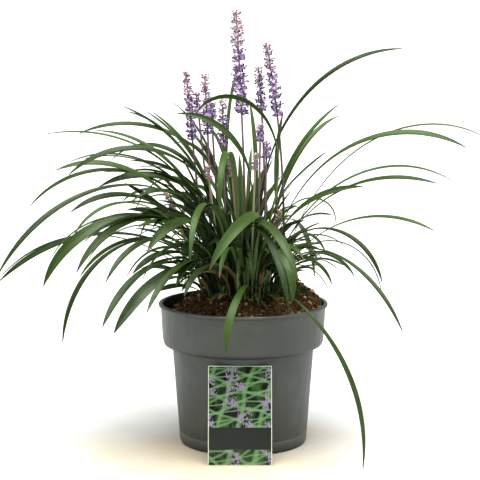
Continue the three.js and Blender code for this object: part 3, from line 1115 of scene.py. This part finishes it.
@dataclass
class Leaf:
    """One strap leaf, with angles in radians and lengths in millimetres."""

    azimuth: float
    root: float
    length: float
    rise: float
    fall: float
    bend: float
    width: float
    sweep: float = 0.0
    twist: float = 0.0
    tip_power: float = 10.0
    scorch: float = 0.0
    dry: float = 0.0
    tone: float | None = None
    start: float = 166.0

    STEPS = 40
    THICKNESS = 0.5
    KEEL = 1.3
    NARROW_FOOT = 0.26  # the lower part's width, as a share of the full one

    def blade_width(self, share: float, power: float = 10.0) -> float:
        """Gives the blade's width along the leaf: a long narrow lower part, then a lance-shaped end.

        Args:
            share: How far along, 0 to 1.
            power: How late the tip draws in.

        Returns:
            The width.
        """
        opening = clamp((share - 0.2) / 0.6)
        swell = mix(self.NARROW_FOOT, 1, math.sin((math.pi / 2) * opening) ** 2)
        return self.width * swell * (1 - share**power)

    def path(self) -> list[Place]:
        """Follows the centreline.

        Returns:
            The places of its steps, the root first.
        """
        step = self.length / self.STEPS
        x = self.root * math.cos(self.azimuth)
        y = self.root * math.sin(self.azimuth)
        z = self.start
        places = [Place(x, y, z, self.rise, self.azimuth, 0.0)]
        for i in range(self.STEPS):
            along = (i + 0.5) / self.STEPS
            slope = mix(self.rise, self.fall, along**self.bend)
            heading = self.azimuth + self.sweep * along
            x += step * math.cos(slope) * math.cos(heading)
            y += step * math.cos(slope) * math.sin(heading)
            z += step * math.sin(slope)
            places.append(Place(x, y, z, slope, heading, (i + 1) / self.STEPS))
        return places


class LeadingLeaf(NamedTuple):
    """One leaf of the outline: angles in degrees, with slopes at the root and the tip."""

    # A leaf turns its face to the front by the larger of two angles: BROAD_GAIN degrees for each
    # millimetre that it is wider than NARROWEST, or NARROW_TURN plus NARROW_GAIN for each of them.
    NARROWEST = 4
    BROAD_GAIN = 10
    NARROW_TURN = 18
    NARROW_GAIN = 4

    azimuth: float
    root: float
    length: float
    rise: float
    fall: float
    bend: float
    width: float
    sweep: float = 0.0
    roll: float | None = None
    tone: float | None = None

    def leaf(self) -> "Leaf":
        """Gives it as a leaf; unless it has its own roll, it turns its face a little to the front.

        Returns:
            The leaf.
        """
        swung = math.radians(self.azimuth + self.sweep)
        wider = self.width - self.NARROWEST
        turned = max(self.BROAD_GAIN * wider, self.NARROW_TURN + self.NARROW_GAIN * wider)
        roll = -turned * math.cos(swung) if self.roll is None else self.roll
        return Leaf(
            math.radians(self.azimuth),
            self.root,
            self.length,
            math.radians(self.rise),
            math.radians(self.fall),
            self.bend,
            self.width,
            sweep=math.radians(self.sweep),
            twist=math.radians(roll),
            tone=self.tone,
        )


LEADING_LEAVES = [
    LeadingLeaf(*row)
    for row in [
        # right
        [4, 20, 360, 95, 0, 1.7, 8],
        [-9, 26, 335, 85, -30, 1.4, 9],
        [1, 34, 345, 75, -30, 1.7, 4.5],
        [-7, 42, 180, 100, -110, 2.5, 4],
        [28, 20, 245, 85, 30, 1.6, 6, 0, None, 0.85],
        [38, 26, 240, 80, 15, 2.2, 7, 0, None, 0.95],
        [21, 32, 305, 80, -30, 1.1, 6],
        [26, 44, 200, 95, -80, 0.8, 5],
        [34, 14, 215, 105, 20, 0.8, 6, -105],
        [65, 18, 230, 75, 60, 1.9, 5, 45, None, 0.8],
        [-8, 45, 210, 95, 60, 4, 5, -60, 60],
        [-24, 28, 270, 80, -15, 1.1, 8],
        [-28, 32, 240, 65, -25, 1.2, 7],
        [-33, 36, 220, 100, -75, 1, 7],
        [-35, 14, 265, 115, -60, 0.5, 6, -10],
        [-70, 28, 300, 95, -95, 0.4, 8, 75],
        # front
        [-53, 32, 250, 115, -65, 0.9, 13, -95, None, 0.9],
        [-54, 45, 195, 95, 0, 1.1, 7, 45, -90],
        # this arching leaf's tone of 1 is partly its pale underside, partly painted light shining
        # through it
        [-65, 15, 305, 65, 240, 3, 7, 65, -75, 1],
        [-66, 42, 165, 100, -110, 1.2, 10],
        [-92, 18, 245, 100, -70, 1, 10, 40, None, 0.35],
        [-90, 15, 265, 115, -80, 0.8, 8, 30, None, 0.0],
        [-86, 40, 260, 115, -5, 1.9, 8, -115, 90, 0.4],
        [-83, 40, 165, 45, -100, 1.3, 9, -45, None, 0.7],
        [-99, 45, 300, 100, -120, 2.2, 8, 0, None, 1],
        [-115, 45, 245, 100, -85, 1.4, 8, 15, None, 1],
        # left
        [180, 20, 320, 115, -25, 1.1, 8, 5],
        [187, 28, 265, 75, -25, 1.7, 9],
        [174, 32, 315, 100, -50, 1, 8],
        [182, 30, 295, 85, -45, 0.6, 10, -15],
        [170, 44, 280, 55, -50, 1, 5],
        [178, 36, 200, 95, -60, 0.8, 8],
        [217, 34, 310, 110, -45, 1.2, 9, -30],
        [176, 24, 245, 115, -30, 1, 10, 15],
        [218, 30, 390, 115, -60, 0.7, 8, -10],
        [212, 38, 245, 75, -35, 1.5, 9],
        [220, 40, 255, 65, -55, 1.9, 6],
        [202, 40, 275, 95, -70, 0.9, 13, 0, None, 0.35],
        [219, 43, 260, 100, -60, 0.9, 10],
        [209, 31, 290, 80, -85, 0.9, 7, 15],
        [221, 45, 215, 110, -55, 0.5, 9, 15, None, 0.15],
        [230, 36, 230, 65, -55, 1.3, 8],
        [240, 39, 220, 105, -55, 0.5, 13, -20, None, 0.1],
        [241, 44, 200, 100, -50, 0.6, 8, 0, None, 0.15],
        [236, 24, 220, 95, -45, 1, 13, 0, None, 0.15],
        [247, 46, 140, 75, -50, 1, 8, 0, None, 0.1],
        [222, 44, 200, 95, -35, 1.7, 8, -10, None, 0.1],
        [219, 45, 160, 95, -50, 1.9, 9, 0, None, 0.1],
        [217, 45, 145, 105, -45, 0.8, 9, 0, None, 0.1],
        [229, 45, 165, 110, -65, 0.7, 7, -45, None, 0.1],
        [238, 45, 140, 85, -50, 1, 8, 10, None, 0.1],
        # back
        [138, 45, 315, 105, -10, 0.8, 5, 40],
        [149, 32, 280, 100, -45, 1.5, 8],
        [158, 38, 265, 95, -60, 0.8, 8],
        [144, 44, 165, 95, -60, 0.7, 9],
        [120, 27, 270, 80, 55, 2.7, 4, -60, None, 0.9],
        [66, 42, 260, 95, -80, 0.8, 9],
        [84, 40, 225, 95, -75, 0.8, 11],
        [96, 32, 300, 95, -50, 1.1, 10],
        [112, 42, 240, 95, -85, 0.8, 8],
        [124, 36, 290, 95, -55, 1, 11],
    ]
]


Span = tuple[float, float]


@dataclass(frozen=True)
class LeafHabit:
    """The spans that the sizes and angles (degrees) of one kind of small leaf are drawn from."""

    root: Span
    length: Span
    rise: Span
    fall: Span
    width: Span
    spread: float = 13.0
    sweep: float = 20.0
    twist: float = 70.0
    tip_power: float = 10.0
    scorch: float = 0.0
    dry: float = 0.0
    tone: Span = (0.0, 1.0)
    avoids_spikes: bool = False

    def leaf(self, draw: random.Random, middle: float, reach: float) -> Leaf:
        """Draws one leaf of this kind.

        Args:
            draw: Random numbers.
            middle: The azimuth of its wedge's middle, in radians.
            reach: The share of their full length that leaves have there.

        Returns:
            The leaf.
        """
        return Leaf(
            azimuth=middle + math.radians(draw.uniform(-self.spread, self.spread)),
            root=draw.uniform(*self.root),
            length=draw.uniform(*self.length) * reach,
            rise=math.radians(draw.uniform(*self.rise)),
            fall=math.radians(draw.uniform(*self.fall)),
            bend=draw.uniform(0.8, 2.0),
            width=draw.uniform(*self.width),
            sweep=math.radians(draw.uniform(-self.sweep, self.sweep)),
            twist=math.radians(draw.uniform(-self.twist, self.twist)),
            tip_power=self.tip_power,
            scorch=self.scorch,
            dry=self.dry,
            tone=draw.uniform(*self.tone),
        )


class SmallLeaf(Enum):
    """Kinds of small leaf round the foot of the clump."""

    THREAD = LeafHabit(
        (20, 44), (150, 230), (80, 96), (-70, 30), (4.0, 6.0), 9, 8, 60, avoids_spikes=True
    )
    SHOOT = LeafHabit((10, 46), (60, 170), (70, 105), (-60, 70), (4.0, 8.0), tone=(0.0, 0.4))
    CUT = LeafHabit((24, 46), (40, 90), (75, 100), (10, 70), (5, 8), tip_power=80.0, scorch=0.05)
    LOW = LeafHabit((36, 47), (60, 95), (25, 80), (-60, -15), (4, 8), 14, 50, 90, tone=(0.0, 0.5))
    WITHERED = LeafHabit((40, 48), (18, 50), (60, 95), (-60, 40), (4, 8), tip_power=3.0, dry=1.0)


class PlacedLeaf(NamedTuple):
    """A small leaf with a place of its own; its angles are in degrees."""

    kind: SmallLeaf
    azimuth: float
    root: float
    length: float
    rise: float
    fall: float
    bend: float
    width: float
    sweep: float
    tone: float = 0.0
    twist: float = 0.0

    def leaf(self) -> Leaf:
        """Gives it as a leaf, with the tip and dryness of its kind.

        Returns:
            The leaf.
        """
        return Leaf(
            math.radians(self.azimuth),
            self.root,
            self.length,
            math.radians(self.rise),
            math.radians(self.fall),
            self.bend,
            self.width,
            sweep=math.radians(self.sweep),
            twist=math.radians(self.twist),
            tip_power=self.kind.value.tip_power,
            scorch=self.kind.value.scorch,
            dry=self.kind.value.dry,
            tone=self.tone,
        )


PLACED_LEAVES = [
    PlacedLeaf(*row)
    for row in [
        # young shoots that fan out from one foot
        [SmallLeaf.SHOOT, -84, 50, 62, 100, 80, 1, 6, 0, 1.0],
        [SmallLeaf.SHOOT, -79, 52, 74, 90, 70, 1, 5, -60, 1.0],
        [SmallLeaf.SHOOT, -74, 50, 88, 92, 60, 1.2, 6, 80, 0.95],
        [SmallLeaf.SHOOT, -88, 51, 72, 95, 60, 1.2, 6, -90, 1.0],
        [SmallLeaf.SHOOT, -71, 50, 58, 80, 40, 1.2, 6, 90, 0.9],
        [SmallLeaf.SHOOT, -92, 50, 48, 85, 40, 1.3, 5, -80, 0.95],
        # leaves that were cut back, lying out over the soil
        [SmallLeaf.CUT, -117, 46, 44, 50, -25, 1, 7, 10, 0.3],
        [SmallLeaf.CUT, -64, 46, 46, 50, -22, 1, 8, 0, 0.4],
        # cut ends that stand out of the clump on the right
        [SmallLeaf.CUT, -12, 30, 80, 78, 5, 1, 5, 0],
        [SmallLeaf.CUT, -3, 30, 76, 76, -3, 1, 5, 0],
        [SmallLeaf.CUT, 4, 32, 68, 72, -6, 1, 5, 0],
        # withered leaves in front
        [SmallLeaf.WITHERED, -106, 46, 45, 60, -30, 1, 9, -10, 0, 30],
        [SmallLeaf.WITHERED, -98, 48, 84, 98, -35, 1.2, 9, -80, 0, -60],
        [SmallLeaf.WITHERED, -108, 48, 64, 95, -20, 1.2, 8, -60, 0, -60],
        [SmallLeaf.WITHERED, -68, 48, 48, 95, 60, 1, 9, 30, 0, 20],
    ]
]


@dataclass
class LeafClump:
    """Twelve tufts of strap leaves, each in its own wedge round the middle of the pot."""

    tufts: int = 12
    leaves_per_tuft: int = 11
    fewest_drawn: int = 2
    lowest_drawn: float = 186.0
    tallest_drawn: float = 390.0
    clearance: float = 0.8
    over_spike: float = 3.0
    under_head: float = 4.0
    scorched_share: float = 0.1
    tuft_seed: int = 99991  # each tuft draws its leaves from a multiple of this number
    number: int = 0
    across: int = 6
    small_leaves: dict[SmallLeaf, int] = field(
        default_factory=lambda: {
            SmallLeaf.THREAD: 4,
            SmallLeaf.SHOOT: 13,
            SmallLeaf.CUT: 1,
            SmallLeaf.LOW: 3,
            SmallLeaf.WITHERED: 1,
        }
    )
    upper: LeafFinish = field(default_factory=lambda: LeafFinish("leaf_upper_face", 0.42, 1.46, 0.4))
    under: LeafFinish = field(
        default_factory=lambda: LeafFinish(
            "leaf_under_face", 0.5, 1.46, 0.4, "1b2a12", "7d9468", "7f8450", 0.5
        )
    )

    def draw(self) -> float:
        """The next repeatable random number, 0 to 1."""
        self.number = (self.number * 48271) % 2147483647
        return self.number / 2147483647

    def wedge(self) -> float:
        """The angle of one tuft's wedge, in degrees."""
        return 360 / self.tufts

    def is_clear(self, leaf: Leaf, middle: float) -> bool:
        """Tells whether a leaf keeps to its wedge and height, and misses the flower spikes.

        Args:
            leaf: The leaf.
            middle: The azimuth of its wedge's middle.

        Returns:
            Whether it may stay.
        """
        for x, y, z, _, _, share in leaf.path():
            reach = leaf.blade_width(share) / 2 + self.clearance
            turn = math.atan2(y, x) - middle
            offset = math.atan2(math.sin(turn), math.cos(turn))
            half_wedge = self.wedge() / 2 * math.pi / 180
            if math.hypot(x, y) * math.sin(half_wedge - abs(offset)) < reach:
                return False
            if (share > 0.2 and z < self.lowest_drawn) or z > self.tallest_drawn:
                return False
            for spike in SPIKES:
                if z > spike.tip + self.over_spike:
                    continue
                centre = spike.centre(z)
                at_head = z > spike.start - self.under_head
                thick = spike.radius if at_head else Spike.STEM_RADIUS
                if math.hypot(x - centre[0], y - centre[1]) <= reach + thick:
                    return False
        return True

    def reach(self, middle: float) -> float:
        """The share of their full length that leaves have in a wedge: most at the back left."""
        return 0.73 - 0.27 * math.cos(middle) + 0.1 * math.sin(middle)

    def drawn_leaf(self, tier: float, middle: float) -> Leaf:
        """Draws a leaf for a place in its tuft.

        Args:
            tier: 0 for low and outermost, 1 for upright and inmost.
            middle: The azimuth of its wedge's middle.

        Returns:
            The leaf.
        """
        degree = math.pi / 180
        reach = self.reach(middle)
        return Leaf(
            azimuth=middle + 22 * (self.draw() - 0.5) * degree,
            root=mix(43, 17, tier) + 4 * (self.draw() - 0.5),
            length=reach * (180 + 100 * self.draw()),
            rise=(86 + 10 * self.draw()) * degree,
            fall=(mix(-85, 50, tier) + 40 * (self.draw() - 0.5)) * degree,
            bend=mix(0.8, 1.7, tier) + 0.4 * (self.draw() - 0.5),
            width=4 + 4.5 * self.draw(),
            sweep=12 * (self.draw() - 0.5) * degree,
            twist=120 * (self.draw() - 0.5) * degree,
        )

    def leading_leaves(self, tuft: int) -> list[Leaf]:
        """Gives a tuft's own leaves from the table.

        Args:
            tuft: The tuft's number, from 0.

        Returns:
            Its leading leaves.
        """
        return [
            row.leaf()
            for row in LEADING_LEAVES
            if math.floor(row.azimuth / self.wedge() + 0.5) % self.tufts == tuft
        ]

    def undergrowth(self, looks: random.Random, middle: float) -> list[Leaf]:
        """Gives the thin, young, cut and withered leaves round the foot of a tuft.

        Args:
            looks: The tuft's own random numbers.
            middle: The azimuth of its wedge's middle.

        Returns:
            Its small leaves.
        """
        small = []
        reach = self.reach(middle)
        thinning = 0.5 if math.cos(middle) > 0.8 else 1.0  # the clump is more open on its right
        for kind, count in self.small_leaves.items():
            for _ in range(math.ceil(thinning * count)):
                leaf = kind.value.leaf(looks, middle, reach)
                while kind.value.avoids_spikes and not self.is_clear(leaf, middle):
                    leaf = kind.value.leaf(looks, middle, reach)
                small.append(leaf)
        half_wedge = math.radians(self.wedge() / 2)
        for placed in PLACED_LEAVES:
            offset = math.remainder(math.radians(placed.azimuth) - middle, math.tau)
            if -half_wedge <= offset < half_wedge:
                small.append(placed.leaf())
        return small

    def add_blade(self, work: bmesh.types.BMesh, leaf: Leaf) -> None:
        """Bends a flat grid to a folded blade along a leaf's centreline.

        Args:
            work: The tuft's mesh.
            leaf: The leaf.
        """
        layer = work.verts.layers.float_color["blade"]
        scorch = work.verts.layers.float["scorch"]
        places = leaf.path()
        grid = bmesh.ops.create_grid(
            work, x_segments=self.across, y_segments=Leaf.STEPS, size=0.5
        )
        for vert in grid["verts"]:
            sideways, share = 2 * vert.co.x, vert.co.y + 0.5
            place = places[round(share * Leaf.STEPS)]
            twist = leaf.twist * place.share**1.5
            side = Vector((math.sin(place.heading), -math.cos(place.heading), 0))
            up = Vector(
                (
                    -math.sin(place.slope) * math.cos(place.heading),
                    -math.sin(place.slope) * math.sin(place.heading),
                    math.cos(place.slope),
                )
            )
            across = side * math.cos(twist) + up * math.sin(twist)
            above = up * math.cos(twist) - side * math.sin(twist)
            half = max(0.2, leaf.blade_width(place.share, leaf.tip_power) / 2)
            fold = min(Leaf.KEEL - 0.2, 0.3 * half) * (1 - abs(sideways) ** 1.3)
            vert.co = Vector((place.x, place.y, place.z)) + across * sideways * half - above * fold
            vert[layer] = ((sideways + 1) / 2, place.share, leaf.tone, leaf.dry)
            vert[scorch] = leaf.scorch

    def build_tuft(self, tuft: int, skins: list[bpy.types.Material]) -> None:
        """Makes one tuft as one piece.

        Args:
            tuft: Its number, from 0.
            skins: The materials of the blades' upper and under faces.
        """
        self.number = (tuft + 1) * self.tuft_seed
        middle = tuft * self.wedge() * math.pi / 180
        leaves = self.leading_leaves(tuft)
        drawn = max(self.fewest_drawn, self.leaves_per_tuft - len(leaves))
        for i in range(drawn):
            leaf = self.drawn_leaf((i + 0.5) / drawn, middle)
            while not self.is_clear(leaf, middle):
                leaf = self.drawn_leaf((i + 0.5) / drawn, middle)
            leaves.append(leaf)
        looks = random.Random(tuft + 1)
        for leaf in leaves:
            tone = looks.random() ** 1.5
            leaf.tone = tone if leaf.tone is None else leaf.tone
            if looks.random() < self.scorched_share:
                leaf.scorch = looks.uniform(0.01, 0.05)
        leaves += self.undergrowth(looks, middle)
        work = bmesh.new()
        work.verts.layers.float_color.new("blade")
        work.verts.layers.float.new("scorch")
        for leaf in leaves:
            self.add_blade(work, leaf)
        work.normal_update()
        under = bmesh.ops.solidify(work, geom=work.faces[:], thickness=Leaf.THICKNESS)
        for part in under["geom"]:
            if isinstance(part, bmesh.types.BMFace):
                part.material_index = 1
        number = f"{tuft + 1:02d}"
        make_piece("leaves_" + number, work, skins, ["leaf_tuft_" + number], 55)

    def build(self) -> None:
        """Makes every tuft."""
        skins = [self.upper.material(), self.under.material()]
        for tuft in range(self.tufts):
            self.build_tuft(tuft, skins)


# ---- Plant card -----------------------------------------------------------------------------------


@dataclass
class PlantCard:
    """A stiff plastic card that stands on the floor and leans on the pot's front."""

    width: float = 69.0
    length: float = 107.5
    thickness: float = 1.0
    corner: float = 1.0
    rim: float = 0.15
    foot: float = 110.8
    lean: float = 17.0
    offset: float = -3.5
    face: PrintedFace = field(default_factory=lambda: PrintedFace("printed_card_face", 0.22, 1.5))
    stock: CardStock = field(default_factory=lambda: CardStock("white_card_stock", 0.4, 1.5))

    def build(self) -> None:
        """Makes the card flat, rounds its corners, prints its front and leans it back."""
        work = bmesh.new()
        bmesh.ops.create_cube(
            work,
            size=1.0,
            matrix=Matrix.Translation((0, -self.thickness / 2, self.length / 2))
            @ Matrix.Diagonal((self.width, self.thickness, self.length, 1)),
        )
        corners = [e for e in work.edges if abs(e.verts[0].co.y - e.verts[1].co.y) > 0.5]
        bmesh.ops.bevel(
            work,
            geom=corners,
            offset=self.corner,
            segments=5,
            profile=0.5,
            affect="EDGES",
            material=-1,
        )
        rims = [e for e in work.edges if abs(e.verts[0].co.y - e.verts[1].co.y) < 0.1]
        bmesh.ops.bevel(
            work,
            geom=rims,
            offset=self.rim,
            segments=2,
            profile=0.5,
            affect="EDGES",
            material=-1,
        )
        work.normal_update()
        prints = work.loops.layers.uv.new("print")
        for face in work.faces:
            face.material_index = 0 if face.normal.y < -0.9 else 1
            for loop in face.loops:
                spot = loop.vert.co
                loop[prints].uv = (spot.x / self.width + 0.5, spot.z / self.length)
        bmesh.ops.rotate(
            work,
            verts=work.verts[:],
            cent=(0, 0, 0),
            matrix=Matrix.Rotation(-math.radians(self.lean), 3, "X"),
        )
        bmesh.ops.translate(work, verts=work.verts[:], vec=(self.offset, -self.foot, 0))
        skins = [self.face.material(), self.stock.material()]
        make_piece("leaning_card", work, skins, ["plant_card"])


# ---- Studio ---------------------------------------------------------------------------------------


@dataclass(frozen=True)
class Softbox:
    """A lamp behind a wide diffuser: it lights evenly from one side, with very soft shadows."""

    name: str
    tilt: float
    turn: float
    spread: float
    power: float

    def build(self) -> None:
        """Hangs the lamp."""
        light = bpy.data.lights.new(self.name, "SUN")
        light.angle = math.radians(self.spread)
        light.energy = self.power
        lamp = bpy.data.objects.new(self.name, light)
        lamp.location = (0, 0, 2)
        lamp.rotation_euler = (math.radians(self.tilt), 0, math.radians(self.turn))
        bpy.context.scene.collection.objects.link(lamp)


@dataclass
class Studio:
    """A pale floor in a white light tent, and the camera."""

    camera_place: tuple[float, float, float] = (-0.0035, -1.870, 0.492)
    camera_pitch: float = 8.0
    lens: float = 126.6
    tent_light: float = 0.28
    floor_radius: float = 14.0
    softboxes: tuple[Softbox, ...] = (
        Softbox("overhead_softbox", 12.0, 0.0, 50.0, 4.9),
        Softbox("left_softbox", 60.0, -60.0, 40.0, 0.7),
        Softbox("right_softbox", 60.0, 60.0, 40.0, 0.7),
    )
    floor_finish: BackdropPaper = field(
        default_factory=lambda: BackdropPaper("backdrop_paper", 0.8, 1.45, 0.2)
    )

    def build_camera(self) -> None:
        """Places the camera in front of the plant, looking slightly down."""
        camera = bpy.data.cameras.new("front_camera")
        camera.lens = self.lens
        camera.sensor_width = 36.0
        viewer = bpy.data.objects.new("front_camera", camera)
        viewer.location = self.camera_place
        viewer.rotation_euler = (math.radians(90 - self.camera_pitch), 0, 0)
        bpy.context.scene.collection.objects.link(viewer)
        bpy.context.scene.camera = viewer

    def build_floor(self) -> None:
        """Lays the round pale floor."""
        work = bmesh.new()
        bmesh.ops.create_circle(work, cap_ends=True, segments=96, radius=self.floor_radius)
        mesh = bpy.data.meshes.new("floor")
        work.to_mesh(mesh)
        work.free()
        mesh.materials.append(self.floor_finish.material())
        floor = bpy.data.objects.new("floor", mesh)
        bpy.context.scene.collection.objects.link(floor)

    def build_world(self) -> None:
        """Surrounds the plant with the tent: white walls under a greyer roof."""
        world = bpy.data.worlds.new("light_tent")
        world.use_nodes = True
        wiring = Wiring(world.node_tree, "Background")
        height = wiring.add("SeparateXYZ", {0: wiring.place("Generated")}).outputs[2]
        walls_to_roof = wiring.rescale(height, 0.1, 0.35, 1.0, self.tent_light)
        wiring.shade({"Color": (1, 1, 1, 1), "Strength": walls_to_roof})
        bpy.context.scene.world = world
        bpy.context.scene.view_settings.view_transform = "Standard"
        bpy.context.scene.view_settings.look = "High Contrast"

    def build(self) -> None:
        """Sets up the whole studio."""
        self.build_camera()
        self.build_floor()
        self.build_world()
        for softbox in self.softboxes:
            softbox.build()


def main() -> None:
    """Builds the plant in its pot, piece by piece, and the studio round it."""
    logging.basicConfig(level=logging.INFO, format="%(message)s")
    Studio().build()
    pot = NurseryPot()
    pot.build()
    PottedSoil(pot).build()
    FlowerSpikes().build()
    LeafClump().build()
    PlantCard().build()


if __name__ == "__main__":
    main()
